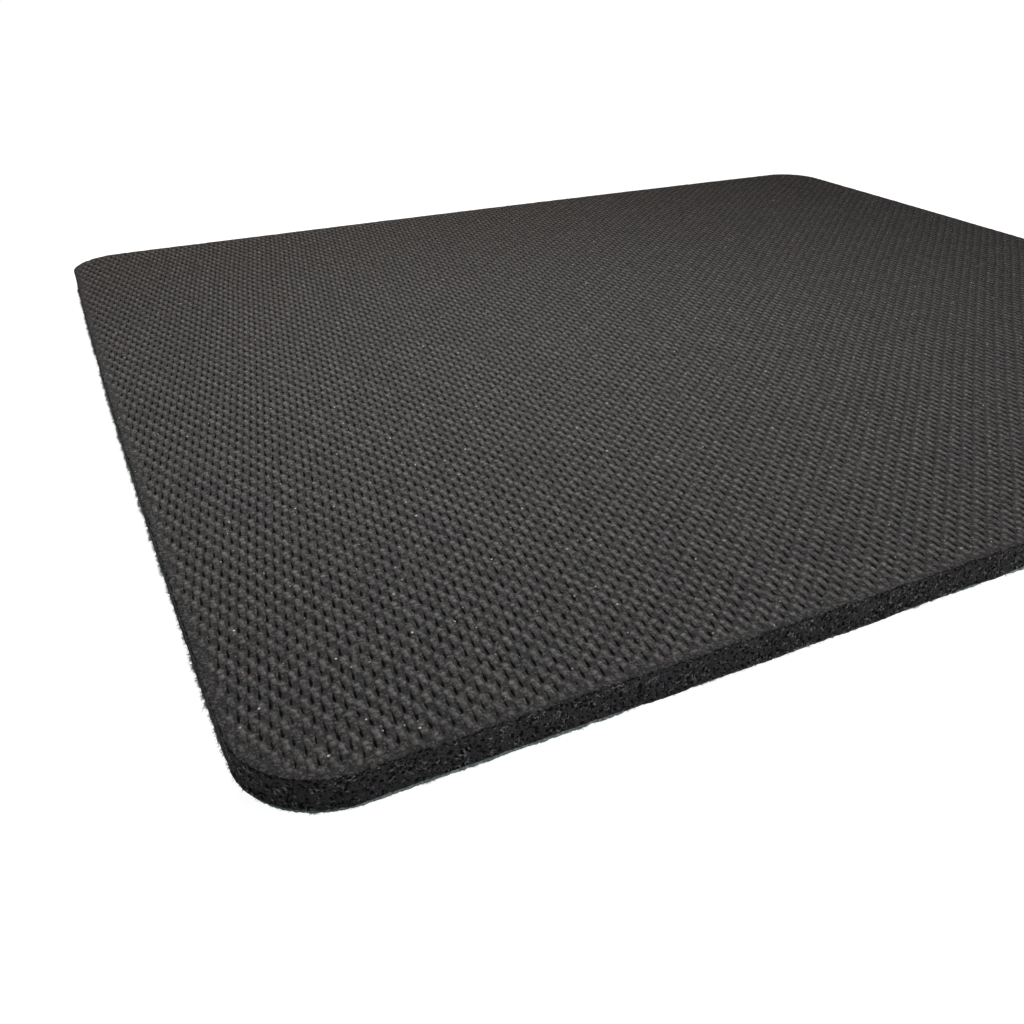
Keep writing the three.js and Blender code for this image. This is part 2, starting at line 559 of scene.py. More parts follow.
def emboss(x, y):
    """Crests, painted highlights at their ends, and slits of the woven imprint, each from 0 to
    1.
    """
    column = np.floor(x / PITCH + 0.5)
    ragged = layered(x, y, SLIT_RAGGED)
    crest, end_glint, slit = (np.zeros_like(x) for _ in range(3))
    for near in (-1, 0, 1):
        i = column + near
        j = np.round((y - i * SHIFT) / REPEAT)
        lift, sink, across, up, long, lean, blot = (chance(i, j, salt) for salt in CREST_SALTS)
        u = x - i * PITCH + SWAY_ACROSS * (across - 0.5)
        v = y - i * SHIFT - j * REPEAT + SWAY_ALONG * (up - 0.5)
        body = crest_body(u, v)
        knots = hill(u, v, lean, *HEAD_KNOT) + hill(u, v, long, *FOOT_KNOT)
        raised = body * at_least(LEAST_KNOT, np.minimum(knots, 1)) * at_least(LEAST_LIFT, lift)
        # Painted highlight: pale streaks at a crest's ends, for the material only
        glint_hills = hill(u, v, lean, *HEAD_GLINT) + hill(u, v, long, *FOOT_GLINT)
        rubbed_and_glint = body * np.minimum(glint_hills, 1) * at_least(LEAST_GLINT, lift)
        sunk = at_least(LEAST_SLIT, ramp(sink, *SLIT_SINKS_OVER))
        cut = slit_cut(u, v, ragged, long, lean, blot) * sunk
        crest, end_glint, slit = (
            np.maximum(old, new) for old, new in ((crest, raised), (end_glint, rubbed_and_glint), (slit, cut))
        )
    return crest, end_glint, slit


def drift(x, y):
    """The slow wander of the woven imprint over the pad, and its lean."""
    calm = np.clip(distance_to_rim(x, y) / DRIFT_FADE, 0, 1)
    straight = np.clip((FLAT_X - np.abs(x)) / LEAN_FADE, 0, 1)
    move_x = layered(x, y, DRIFT_X) * calm + LEAN * y * straight
    return move_x, layered(x, y, DRIFT_Y) * calm


# The skin

def whole_steps(reach, step):
    """Whole numbers whose steps cover a reach on both sides of zero."""
    last = int(reach / step) + 2
    return np.arange(-last, last + 1)


def skin_lines():
    """Grid lines of the skin's upper face along X and Y, in step with the emboss."""
    edge_x, edge_y = HALF_LENGTH - RIM_ROLL, HALF_WIDTH - RIM_ROLL
    row = REPEAT / ROWS_PER_REPEAT
    columns = whole_steps(edge_x, PITCH)[:, None] * PITCH + np.array(COLUMN_PLACES) + SLIT_PLACE
    columns = columns.ravel()
    rows = whole_steps(edge_y, row) * row + ROW_START
    columns = columns[np.abs(columns) < edge_x - LINE_GAP]
    rows = rows[np.abs(rows) < edge_y - LINE_GAP]
    return (
        np.concatenate([[-edge_x], columns, [edge_x]]),
        np.concatenate([[-edge_y], rows, [edge_y]]),
    )


def rounded_corners(x, y, half_x, half_y, radius):
    """Draws the corner squares of a rectangle into quarter discs."""
    from_x = np.clip((np.abs(x) - half_x + radius) / radius, 0, 1)
    from_y = np.clip((np.abs(y) - half_y + radius) / radius, 0, 1)
    length = np.hypot(from_x, from_y)
    share = np.where(length > 0, np.maximum(from_x, from_y) / np.maximum(length, 1e-9), 1)
    moved = (from_x > 0) & (from_y > 0)
    round_x = np.sign(x) * (half_x - radius + radius * from_x * share)
    round_y = np.sign(y) * (half_y - radius + radius * from_y * share)
    return np.where(moved, round_x, x), np.where(moved, round_y, y)


def skin_grid():
    """Points of the skin's upper face, before it drifts and bows, and their numbers."""
    x, y = np.meshgrid(*skin_lines())
    numbers = np.arange(x.size).reshape(x.shape)
    x, y = rounded_corners(
        x.ravel(), y.ravel(), HALF_LENGTH - RIM_ROLL, HALF_WIDTH - RIM_ROLL,
        CORNER_RADIUS - RIM_ROLL,
    )
    inside = distance_to_rim(x, y) - RIM_ROLL
    x += along_slits(x, y) * np.clip(inside / SLIT_LINES_FADE, 0, 1)
    return x, y, numbers


def grid_quads(numbers):
    corners = [numbers[:-1, :-1], numbers[:-1, 1:], numbers[1:, 1:], numbers[1:, :-1]]
    return np.stack(corners, -1).reshape(-1, 4)


def grid_rim(numbers):
    """Point numbers round the edge of a grid, anticlockwise from its lowest corner."""
    return np.concatenate([
        numbers[0, :-1], numbers[:-1, -1], numbers[-1, :0:-1], numbers[:0:-1, 0],
    ])


def skin_relief(x, y, inside):
    """Heights of the skin's upper face, and its marks of painted highlight and shade for the
    material.
    """
    from_edge = inside + layered(x, y, PRINT_EDGE)
    printed = ramp(from_edge, *PRINT_FADES_OVER)
    crest, end_glint, slit = emboss(x, y)
    crest, end_glint = crest * printed, end_glint * printed
    slit = slit * ramp(from_edge, *SLIT_FADES_OVER)
    full = CREST_FULLNESS + layered(x, y, CREST_VARIES)
    height = PAD_TOP - CREST_DROP * (1 - crest * full) * printed - SLIT_DEPTH * slit
    height -= BARE_DROP * (1 - printed)
    height += layered(x, y, SKIN_GRAIN) * at_least(LEAST_GRAIN, printed)
    height += layered(x, y, SKIN_SWELL) * np.clip(inside / SWELL_FADE, 0, 1)
    height -= RIM_FALL * ramp(-inside, -RIM_FALL_REACH, -RIM_ROLL)
    painted_light_marks = {"crest": crest, "end_glint": end_glint, "slit": slit}
    return np.minimum(height, PAD_TOP + SKIN_PROUD), painted_light_marks


def skin_edge(x, y, normal, nibble, height):
    """Loops of points that roll over from the face's rim to the seam, and go in under it."""
    x, y = x + normal[:, 0] * RIM_ROLL, y + normal[:, 1] * RIM_ROLL
    seam = seam_height(x, y)
    jitter = edge_jitter(x, y)
    rings = []
    for turn, _ in RIM_LOOPS:
        seam_inset = jitter + NIBBLE_SEAM_SHARE * nibble
        inset = (RIM_ROLL + nibble) * (1 - turn) + seam_inset * turn
        fall = 1 - np.sqrt(1 - (RIM_TURN_SHARE * turn) ** 2)
        rings.append(ring(x, y, normal, inset, height - (height - seam) * fall))
    rings.append(ring(x, y, normal, SEAM_INSET + jitter, seam))
    under = np.minimum(seam, SKIN_BOTTOM + UNDER_GAP)
    for inset, level in zip(UNDER_INSETS, (under, SKIN_BOTTOM)):
        rings.append(ring(x, y, normal, inset, level))
    return rings


def skin_piece():
    x, y, numbers = skin_grid()
    inside = distance_to_rim(x, y)
    height, painted_light_marks = skin_relief(x, y, inside)
    move_x, move_y = drift(x, y)
    normal, near_rim = outward(x, y), ramp(-inside, -NIBBLE_REACH, -RIM_ROLL)
    nibble = (NIBBLE + NIBBLE * layered(x, y, NIBBLE_VARIES)) * near_rim
    move_x, move_y = move_x - nibble * normal[:, 0], move_y - nibble * normal[:, 1]
    top = np.stack([*bowed(x + move_x, y + move_y), height], 1)

    loop = grid_rim(numbers)
    rings = skin_edge(x[loop], y[loop], normal[loop], nibble[loop], height[loop])
    points = np.concatenate([top] + rings)
    beyond = len(x) + np.arange(len(rings) * len(loop))
    edges = walls([loop, *beyond.reshape(len(rings), -1)])
    quads, cap = grid_quads(numbers), beyond[-len(loop):][::-1][None]
    maps = [on_face(points, FACE_MAP)[quads]]
    maps += in_lanes(len(loop), len(edges), EDGE_LANES, EDGE_MAP)
    maps.append(on_face(points, HIDDEN_MAP)[cap])

    attributes = {
        key: np.concatenate([values, np.zeros(len(beyond))]) for key, values in painted_light_marks.items()
    }
    cuts = [cut for _, cut in RIM_LOOPS]
    cuts += [1.0] * (len(rings) - len(cuts))
    attributes["cut"] = np.concatenate([FACE_CUT_SHARE * near_rim, np.repeat(cuts, len(loop))])
    return mesh_piece("embossed_skin", points, [quads, *edges, cap], maps, attributes)


# The sponge, film and cloth

def edged_slab(name, insets, heights, levels, cap_inset, attributes, face_shows=False):
    """A closed sheet between two levels, whose edge is given row by row, from the top down.

    The bake's map holds its edge, and its lower face as well if that shows."""
    count = len(insets[0])
    x, y, normal = rim(count)
    rows = [ring(x, y, normal, inset, height) for inset, height in zip(insets, heights)]
    bottom = ring(x, y, normal, insets[-1] + cap_inset, levels[0])
    top = ring(x, y, normal, insets[0] + cap_inset, levels[1])
    points = np.concatenate([top] + rows + [bottom])
    loops = np.arange(len(points)).reshape(-1, count)
    edges = walls(loops)
    caps = [loops[0][None], loops[-1][::-1][None]]
    if face_shows:
        maps = in_lanes(count, len(edges), EDGE_LANES, EDGE_MAP)
        areas = (HIDDEN_MAP, FACE_MAP)
    else:
        maps = in_lanes(count, len(edges), WHOLE_LANES, WHOLE_MAP)
        areas = (HIDDEN_CORNER, HIDDEN_CORNER)
    maps += [on_face(points, area)[cap] for cap, area in zip(caps, areas)]
    layers = {
        key: np.concatenate([np.zeros(count), values.ravel(), np.zeros(count)])
        for key, values in attributes.items()
    }
    return mesh_piece(name, points, edges + caps, maps, layers)


def sponge_piece():
    x, y, _ = rim(SPONGE_COLUMNS)
    seam = seam_height(x, y) - SPONGE_GAP
    hem = SPONGE_BOTTOM - HEM_DROP - HEM_HANG * sponge_hang(x, y) + layered(x, y, HEM_VARIES)
    share = np.linspace(0, 1, SPONGE_ROWS)[:, None]
    height = seam + (hem - seam) * share
    around = np.broadcast_to(around_rim(SPONGE_COLUMNS), height.shape)
    bent = around + layered(around, height, PIT_BENDS)
    tall = height + layered(around, height, PIT_SHIFTS)
    large, large_lip = pits(bent, tall, *LARGE_PITS)
    small, small_lip = pits(bent, tall, *SMALL_PITS)
    fade = ramp(share, 0, SPONGE_FADE_SHARE) * ramp(1 - share, 0, SPONGE_FADE_SHARE)
    large_hollow = LARGE_HOLLOW * large * ramp(large, *LARGE_HOLLOW_OVER)
    small_hollow = SMALL_HOLLOW * small * ramp(small, *SMALL_HOLLOW_OVER)
    hollow = np.maximum(large_hollow, small_hollow) * fade
    lip = np.maximum(large_lip, SMALL_LIP * small_lip)
    lip = lip * ramp(layered(around, height, LIP_PATCHES), *LIP_PATCH_OVER)
    grain = np.clip(layered(around, height, GRAIN_SHAPE) + LIP_HEIGHT * lip, -1, 1)
    inset = edge_jitter(x, y) + SPONGE_INSET + SPONGE_WAIST * 4 * share * (1 - share)
    inset = inset + layered(around, height, SPONGE_SWELL) * fade
    inset = inset + PIT_DEPTH * hollow - GRAIN_HEIGHT * grain * (1 - hollow) * fade
    shown = grain * (1 - ramp(hollow, *GRAIN_GOES_OVER))
    # hollow carries the painted shade of the pits; grain carries pale grains and the painted
    # highlight on the pits' lips
    looks = {"hollow": hollow, "grain": 0.5 + 0.5 * shown}
    levels = (SPONGE_BOTTOM, SKIN_BOTTOM)
    return edged_slab("sponge_body", inset, height, levels, SPONGE_CAP, looks)


def film_piece():
    x, y, _ = rim(FILM_COLUMNS)
    inset = FILM_INSET + layered(x, y, FILM_VARIES)
    top, bottom = SPONGE_BOTTOM - FILM_GAP, CLOTH_TOP + FILM_GAP
    return edged_slab(
        "glue_film", [inset + FILM_ROUND, inset, inset, inset + FILM_ROUND],
        [top, SPONGE_BOTTOM - FILM_BEVEL, CLOTH_TOP + FILM_BEVEL, bottom],
        (bottom, top), FILM_CAP, {},
    )


def cloth_inset(x, y):
    """How far in the cut edge of the cloth lies, more so where the sponge covers it."""
    steps = CLOTH_STEP * np.tanh(layered(x, y, CLOTH_STEPS)) + layered(x, y, CLOTH_VARIES)
    return CLOTH_INSET + CLOTH_COVERED * sponge_hang(x, y) + edge_jitter(x, y) + steps


def cloth_lift(x, y):
    """How far the cut edge of the cloth curls up from the flat, in short steps."""
    steps = 0.5 + 0.5 * np.tanh(layered(x, y, CURL_STEPS))
    return np.clip(CURL * steps + layered(x, y, CURL_VARIES), 0, CURL_HIGHEST)


def cloth_piece():
    x, y, _ = rim(CLOTH_COLUMNS)
    inset, lift = cloth_inset(x, y), cloth_lift(x, y)
    thick = CLOTH_TOP - CLOTH_GAP
    heights = [thick * share + lift * (1 - share) for share, _ in CLOTH_LOOPS]
    insets = [
        inset + tuck + layered(x + THREADS_APART * k, y, CLOTH_THREADS)
        for k, (_, tuck) in enumerate(CLOTH_LOOPS)
    ]
    looks = {"pale": np.stack([1 - sponge_hang(x, y)] * len(CLOTH_LOOPS))}
    return edged_slab("cloth_face", insets, heights, (0.0, thick), CLOTH_CAP, looks, True)


# The fringe

def fibre_places(draw):
    """Places round the rim that fibres stand at, and which of the fibres are in a tuft."""
    tufts = draw.integers(0, FIBRE_PLACES, TUFTS)
    spread = draw.normal(0, TUFT_SPREAD, FIBRES).astype(int)
    in_tuft = draw.random(FIBRES) < TUFT_SHARE
    near_tuft = tufts[draw.integers(0, TUFTS, FIBRES)] + spread
    alone = draw.integers(0, FIBRE_PLACES, FIBRES)
    return np.where(in_tuft, near_tuft, alone) % FIBRE_PLACES, in_tuft


def unit(vectors):
    return vectors / np.linalg.norm(vectors, axis=1)[:, None]


def fibre_faces(number, corners):
    """Faces of the fibres: quads up their sides, triangles at their tips, and their ends."""
    first = np.arange(number)[:, None] * corners
    sides = len(FIBRE_SIDES)
    last = sides * (len(FIBRE_SECTIONS) - 1)
    quads, tips = [], []
    for k in range(sides):
        after = (k + 1) % sides
        for low in range(0, last, sides):
            high = low + sides
            quads.append(first + np.array([[low + k, low + after, high + after, high + k]]))
        tips.append(first + np.array([[last + k, last + after, last + sides]]))
    ends = first + np.arange(sides)[::-1][None]
    return [np.concatenate(quads), np.concatenate(tips), ends]


def fibre_map(number):
    """Places on the bake's map: a small square for each fibre, with its points spread in it."""
    across = int(np.ceil(np.sqrt(number)))
    row, column = np.divmod(np.arange(number), across)
    sides, sections = len(FIBRE_SIDES), len(FIBRE_SECTIONS)
    spots = [(k, r) for r in range(sections) for k in range(sides)] + [(1, sections)]
    spots = np.array(spots) * SPOT_STEP + SPOT_START
    uv = np.stack([column, row], 1)[:, None] + spots[None]
    return uv.reshape(-1, 2) / across


def fringe_piece():
    """Cut ends of the cloth's fibres, standing out round the edge.

    They are shorter along the front, where the die cut the cloth cleanly."""
    draw = np.random.default_rng(FIBRE_SEED)
    x, y, normal = rim(FIBRE_PLACES)
    places, in_tuft = fibre_places(draw)
    covered = sponge_hang(x, y)[places]
    keep = draw.random(FIBRES) > BURIED_SHARE * covered
    places, in_tuft, covered = places[keep], in_tuft[keep], covered[keep]
    x, y, normal = x[places], y[places], normal[places]
    number = len(places)
    low = cloth_lift(x, y) + ROOT_LOWEST
    level = low + (CLOTH_TOP - ROOT_BELOW_TOP - low) * draw.random(number)
    start = ring(x, y, normal, cloth_inset(x, y) - ROOT_COVERED * covered + ROOT_INSET, level)

    out = np.column_stack([normal, np.zeros(number)])
    along = np.stack([-out[:, 1], out[:, 0], out[:, 2]], 1)
    up = np.array([0, 0, 1.0])
    sway = along * draw.normal(0, SWAY_ASIDE, (number, 1))
    heading = unit(out + sway + up * draw.normal(*SWAY_UP, (number, 1)))
    length = draw.lognormal(FIBRE_LOG_LENGTH, FIBRE_LOG_SPREAD, number)
    length = np.clip(length, FIBRE_SHORTEST, FIBRE_LONGEST)
    length = length * np.where(in_tuft, TUFT_LENGTHENS, 1.0)
    length = length * (1 + BACK_LENGTHENS * ramp(normal[:, 1], *BACK_OVER))
    reach = heading * length[:, None]
    curl = along * draw.normal(0, CURL_ASIDE, (number, 1))
    curl = (curl + up * draw.normal(*CURL_UP, (number, 1))) * length[:, None]
    radius = draw.uniform(FIBRE_THINNEST, FIBRE_THICKEST, (number, 1))
    side = unit(np.cross(heading, up))
    top = np.cross(side, heading)
    sections = []
    for share, thick in FIBRE_SECTIONS:
        middle = start + reach * share + curl * share ** 2
        for turn in FIBRE_SIDES:
            offset = side * np.cos(turn) + top * np.sin(turn)
            sections.append(middle + offset * radius * thick)
    sections.append(start + reach + curl)
    points = np.stack(sections, 1)
    points[:, :, 2] = np.maximum(points[:, :, 2], FIBRE_LOWEST)

    tone = np.repeat(draw.random(number), len(sections))
    faces, uv = fibre_faces(number, len(sections)), fibre_map(number)
    return mesh_piece(
        "cloth_fringe", points.reshape(-1, 3), faces, [uv[f] for f in faces], {"tone": tone},
    )


# Nodes

def feed(tree, made, values):
    """Links a node's inputs, or sets their values. The colours are opaque."""
    for key, value in values.items():
        socket = made.inputs[key]
        if isinstance(value, bpy.types.NodeSocket):
            tree.links.new(value, socket)
        else:
            socket.default_value = (*value, 1.0) if socket.type == "RGBA" else value


def node(tree, kind, values=None, **settings):
    """A new node with its settings and inputs."""
    made = tree.nodes.new("ShaderNode" + kind)
    for name, setting in settings.items():
        setattr(made, name, setting)
    feed(tree, made, values or {})
    return made


def cleared_tree(made, output):
    """The emptied node tree of a material or world, and its new output node."""
    made.use_nodes = True
    tree = made.node_tree
    tree.nodes.clear()
    return tree, node(tree, output)


def material(name):
    made = bpy.data.materials.new(name)
    tree, output = cleared_tree(made, "OutputMaterial")
    shader = node(tree, "BsdfPrincipled")
    feed(tree, output, {"Surface": shader.outputs[0]})
    return made, tree, shader


def place(tree, stretch=(1, 1, 1)):
    """The point of the surface in the frame, in metres, stretched along each axis."""
    point = node(tree, "TexCoord").outputs["Object"]
    return node(tree, "Mapping", {"Vector": point, "Scale": stretch}).outputs["Vector"]


def noise(tree, vector, grain, detail=2.0, rough=0.5):
    """Noise from 0 to 1 whose features are about grain millimetres wide."""
    made = node(tree, "TexNoise", {
        "Vector": vector, "Scale": 1 / (grain * MM), "Detail": detail, "Roughness": rough,
    })
    return made.outputs["Fac"]


def cells(tree, vector, grain, flat=True):
    """Distance to the nearest of points about grain millimetres apart, and its colour."""
    made = node(
        tree, "TexVoronoi", {"Vector": vector, "Scale": 1 / (grain * MM)},
        voronoi_dimensions="2D" if flat else "3D",
    )
    return made.outputs["Distance"], made.outputs["Color"]


# A wave texture of this scale takes a metre from trough to crest, and another one back
WAVE_SCALE = 0.157


def ribs(tree, vector, axis, wide, wobble, wobble_scale):
    """Soft ribs from 0 to 1 along an axis, so many millimetres wide and as far apart."""
    made = node(tree, "TexWave", {
        "Vector": vector, "Scale": WAVE_SCALE / (wide * MM), "Distortion": wobble,
        "Detail": 2.0, "Detail Scale": wobble_scale,
    }, wave_type="BANDS", bands_direction=axis)
    return made.outputs["Fac"]


def attribute(tree, name):
    return node(tree, "Attribute", attribute_name=name).outputs["Fac"]


def maths(tree, operation, *values):
    return node(tree, "Math", dict(enumerate(values)), operation=operation).outputs[0]


def span(tree, value, start, end, low=0.0, high=1.0):
    """Maps start to end onto low to high, smoothly and held at both ends."""
    made = node(tree, "MapRange", {
        "Value": value, "From Min": start, "From Max": end, "To Min": low, "To Max": high,
    }, interpolation_type="SMOOTHSTEP")
    return made.outputs["Result"]


def blend(tree, share, first, second, kind="MIX"):
    """Mixes two colours. Inputs 6 and 7 are the node's colours, and so is output 2."""
    values = {0: share, 6: first, 7: second}
    return node(tree, "Mix", values, data_type="RGBA", blend_type=kind).outputs[2]


def stain(tree, base, mask, start, end, share, colour):
    """Lays up to a share of a colour over a base, where a mask rises from start to end."""
    return blend(tree, span(tree, mask, start, end, 0.0, share), base, colour)


def bump(tree, height, strength, distance, **before):
    """Bumps of up to so many millimetres, on those before if their Normal is given."""
    values = {"Height": height, "Strength": strength, "Distance": distance * MM}
    return node(tree, "Bump", values | before).outputs["Normal"]


# A dot's least size and its solid core, as shares of its most and of its own size
DOT_LEAST, DOT_CORE = 0.4, 0.4


def dust(tree, vector, grain, size, share, flat=True):
    """Sparse specks: 1 in a dot of up to the size, at the middle of a few of the cells."""
    distance, colour = cells(tree, vector, grain, flat)
    split = node(tree, "SeparateColor", {"Color": colour})
    chosen = maths(tree, "LESS_THAN", split.outputs[0], share)
    most = size / grain
    varies, least = (1 - DOT_LEAST) * most, DOT_LEAST * most
    reach = maths(tree, "MULTIPLY_ADD", split.outputs[1], varies, least)
    dot = span(tree, distance, reach, maths(tree, "MULTIPLY", reach, DOT_CORE))
    return maths(tree, "MULTIPLY", chosen, dot)


# Materials

RUBBER_BLACKS = ((0.0515, 0.0485, 0.0500), (0.0500, 0.0485, 0.0510))
RUBBER_PATCH = (0.0540, 0.0505, 0.0500)
CREST_HIGHLIGHT = (0.203, 0.184, 0.175)
GLINT_HIGHLIGHT = (0.275, 0.250, 0.237)
MOTTLE_BLACK = (0.0265, 0.0255, 0.0272)
RUBBED_GREY = (0.127, 0.1150, 0.1140)
GRIT_BLACK = (0.0245, 0.0240, 0.0252)
FLECK_GREY = (0.20, 0.183, 0.181)
SLIT_SHADE = (0.004, 0.004, 0.0052)
TORN_GREYS = ((0.012, 0.012, 0.013), (0.085, 0.083, 0.085))
RUBBER_TINTS = ((0.970, 0.965, 0.990), (0.925, 0.995, 0.976))
RUBBER_DUST = (0.75, 0.71, 0.63)


def skin_material():
    """Black rubber, with painted highlights on its crests and their ends, painted shade in its
    slits, and torn at its cut rim.
    """
    made, tree, shader = material("embossed_rubber")
    spot, stretched = place(tree), place(tree, (1.0, 0.7, 1.0))
    crest, end_glint, slit, cut = (attribute(tree, key) for key in ("crest", "end_glint", "slit", "cut"))
    cloud = noise(tree, spot, 34.0, 3.0, 0.55)
    patch = noise(tree, spot, 9.0, 3.0, 0.6)
    mottle = noise(tree, spot, 0.6, 2.0, 0.6)
    rubbed_and_glint = noise(tree, stretched, 0.55, 2.0, 0.6)
    grit = noise(tree, stretched, 0.33, 1.0, 0.5)
    fleck = noise(tree, spot, 0.36, 2.0, 0.6)
    base = blend(tree, span(tree, cloud, 0.38, 0.62), *RUBBER_BLACKS)
    base = stain(tree, base, patch, 0.45, 0.72, 1.0, RUBBER_PATCH)
    # Painted highlight: the crests are coloured paler, as if lit
    base = blend(tree, crest, base, CREST_HIGHLIGHT)
    # Painted highlight: a pale streak at each crest's ends
    base = blend(tree, end_glint, base, GLINT_HIGHLIGHT)
    base = stain(tree, base, mottle, 0.45, 0.65, 0.5, MOTTLE_BLACK)
    base = stain(tree, base, rubbed_and_glint, 0.50, 0.70, 0.4, RUBBED_GREY)
    base = stain(tree, base, grit, 0.54, 0.64, 0.6, GRIT_BLACK)
    base = stain(tree, base, fleck, 0.54, 0.66, 0.55, FLECK_GREY)
    # Painted shade: the slits are coloured near black, as shade in a deep groove
    base = stain(tree, base, slit, 0.02, 0.45, 0.92, SLIT_SHADE)

    torn = blend(tree, span(tree, fleck, 0.45, 0.62), *TORN_GREYS)
    ragged = maths(tree, "MULTIPLY_ADD", noise(tree, spot, 0.5, 2.0, 0.6), 0.9, -0.45)
    ragged = maths(tree, "ADD", cut, ragged)
    base = stain(tree, base, ragged, 0.36, 0.5, 1.0, torn)

    hue = noise(tree, spot, 1.1, 2.0, 0.6)
    tint = blend(tree, span(tree, hue, 0.40, 0.60), *RUBBER_TINTS)
    base = blend(tree, 1.0, base, tint, "MULTIPLY")
    coarse, fine = dust(tree, spot, 5.0, 0.22, 0.20), dust(tree, spot, 2.3, 0.13, 0.12)
    specks = maths(tree, "MULTIPLY", maths(tree, "MAXIMUM", coarse, fine), 0.9)
    shine, grain = noise(tree, spot, 3.0, 3.0, 0.6), noise(tree, spot, 0.2, 3.0, 0.65)
    feed(tree, shader, {
        "Base Color": blend(tree, specks, base, RUBBER_DUST),
        "Roughness": span(tree, shine, 0.3, 0.7, 0.68, 0.82),
        "Specular IOR Level": 0.0,
        "Normal": bump(tree, grain, 0.7, 0.04),
    })
    return made


SPONGE_BLACKS = ((0.042, 0.042, 0.045), (0.057, 0.0565, 0.060))
SPONGE_FINE = (0.10, 0.098, 0.102)
SPONGE_GRAIN_AND_LIP_HIGHLIGHT = (0.29, 0.285, 0.29)
SPONGE_PIT_SHADE = (0.006, 0.006, 0.007)
SPONGE_DUST = (0.42, 0.41, 0.40)


def sponge_material():
    """Dark sponge, with painted shade in its pits, pale raised grains and painted highlights on
    the pits' lips.
    """
    made, tree, shader = material("open_cell_sponge")
    spot = place(tree)
    hollow, grain = attribute(tree, "hollow"), attribute(tree, "grain")
    patch = noise(tree, spot, 4.0, 3.0, 0.6)
    fine = noise(tree, spot, 0.3, 2.0, 0.7)
    base = blend(tree, span(tree, patch, 0.35, 0.65), *SPONGE_BLACKS)
    base = stain(tree, base, fine, 0.50, 0.64, 0.5, SPONGE_FINE)
    # Pale raised grains, and a painted highlight on the pits' lips, where light catches them
    base = stain(tree, base, grain, 0.66, 0.98, 0.9, SPONGE_GRAIN_AND_LIP_HIGHLIGHT)
    # Painted shade: the pits are coloured near black, as shade in their hollows
    base = stain(tree, base, hollow, 0.05, 0.5, 0.85, SPONGE_PIT_SHADE)
    specks = maths(tree, "MULTIPLY", dust(tree, spot, 1.6, 0.2, 0.15, flat=False), 0.8)
    feed(tree, shader, {
        "Base Color": blend(tree, specks, base, SPONGE_DUST),
        "Roughness": span(tree, fine, 0.3, 0.7, 0.7, 0.95),
        "Specular IOR Level": 0.02,
        "Normal": bump(tree, fine, 0.6, 0.05),
    })
    return made


GLUE_GREYS = ((0.05, 0.055, 0.055), (0.10, 0.11, 0.105))


def film_material():
    made, tree, shader = material("bonding_glue")
    patch = noise(tree, place(tree), 1.5, 3.0, 0.6)
    feed(tree, shader, {
        "Base Color": blend(tree, span(tree, patch, 0.35, 0.65), *GLUE_GREYS),
        "Roughness": span(tree, patch, 0.3, 0.7, 0.35, 0.6),
        "Normal": bump(tree, patch, 0.4, 0.05),
    })
    return made


CLOTH_GREENS = ((0.085, 0.150, 0.142), (0.110, 0.180, 0.168))
YARN_GREEN = (0.055, 0.105, 0.100)
LOOP_GREEN = (0.19, 0.29, 0.27)
FUZZ_GREEN = (0.28, 0.37, 0.345)
CUT_GREENS = ((0.18, 0.26, 0.26), (0.42, 0.53, 0.50))
KNOT_WHITE = (0.72, 0.80, 0.76)
CLOTH_SHEEN = (0.8, 0.95, 0.93)


def cloth_material():
    """A fine warp knit: rows of small loops, a little uneven, in a dyed green-grey.

    Its cut edge is paler."""
    made, tree, shader = material("knitted_cloth")
    spot = place(tree)
    rows = ribs(tree, spot, "X", 0.36, 0.6, 2.5)
    courses = ribs(tree, spot, "Y", 0.27, 0.8, 1.0)
    loops = maths(tree, "MULTIPLY", rows, courses)
    cloud = noise(tree, spot, 22.0, 3.0, 0.55)
    yarn = noise(tree, place(tree, (1.0, 0.12, 1.0)), 0.8, 2.0, 0.6)
    fuzz = noise(tree, spot, 0.3, 3.0, 0.7)
    base = blend(tree, span(tree, cloud, 0.35, 0.65), *CLOTH_GREENS)
    base = stain(tree, base, yarn, 0.45, 0.65, 0.5, YARN_GREEN)
    base = stain(tree, base, loops, 0.1, 0.8, 0.55, LOOP_GREEN)
    base = stain(tree, base, fuzz, 0.50, 0.72, 0.5, FUZZ_GREEN)

    rim_tone = noise(tree, spot, 0.5, 3.0, 0.6)
    knots = noise(tree, spot, 0.32, 2.0, 0.6)
    edge = blend(tree, span(tree, rim_tone, 0.35, 0.7), *CUT_GREENS)
    edge = stain(tree, edge, knots, 0.56, 0.68, 0.8, KNOT_WHITE)
    soft = bump(tree, loops, 0.7, 0.08)
    feed(tree, shader, {
        "Base Color": stain(tree, base, attribute(tree, "pale"), 0.02, 0.3, 1.0, edge),
        "Roughness": span(tree, fuzz, 0.3, 0.7, 0.8, 0.95),
        "Specular IOR Level": 0.15,
        "Sheen Weight": 0.15,
        "Sheen Roughness": 0.5,
        "Sheen Tint": CLOTH_SHEEN,
        "Normal": bump(tree, fuzz, 0.3, 0.03, Normal=soft),
    })
    return made


FIBRE_GREENS = ((0.30, 0.41, 0.39), (0.62, 0.74, 0.68))
FIBRE_BACKLIT_WHITE = (0.86, 0.93, 0.86)
FIBRE_MOTTLE = (0.26, 0.35, 0.33)


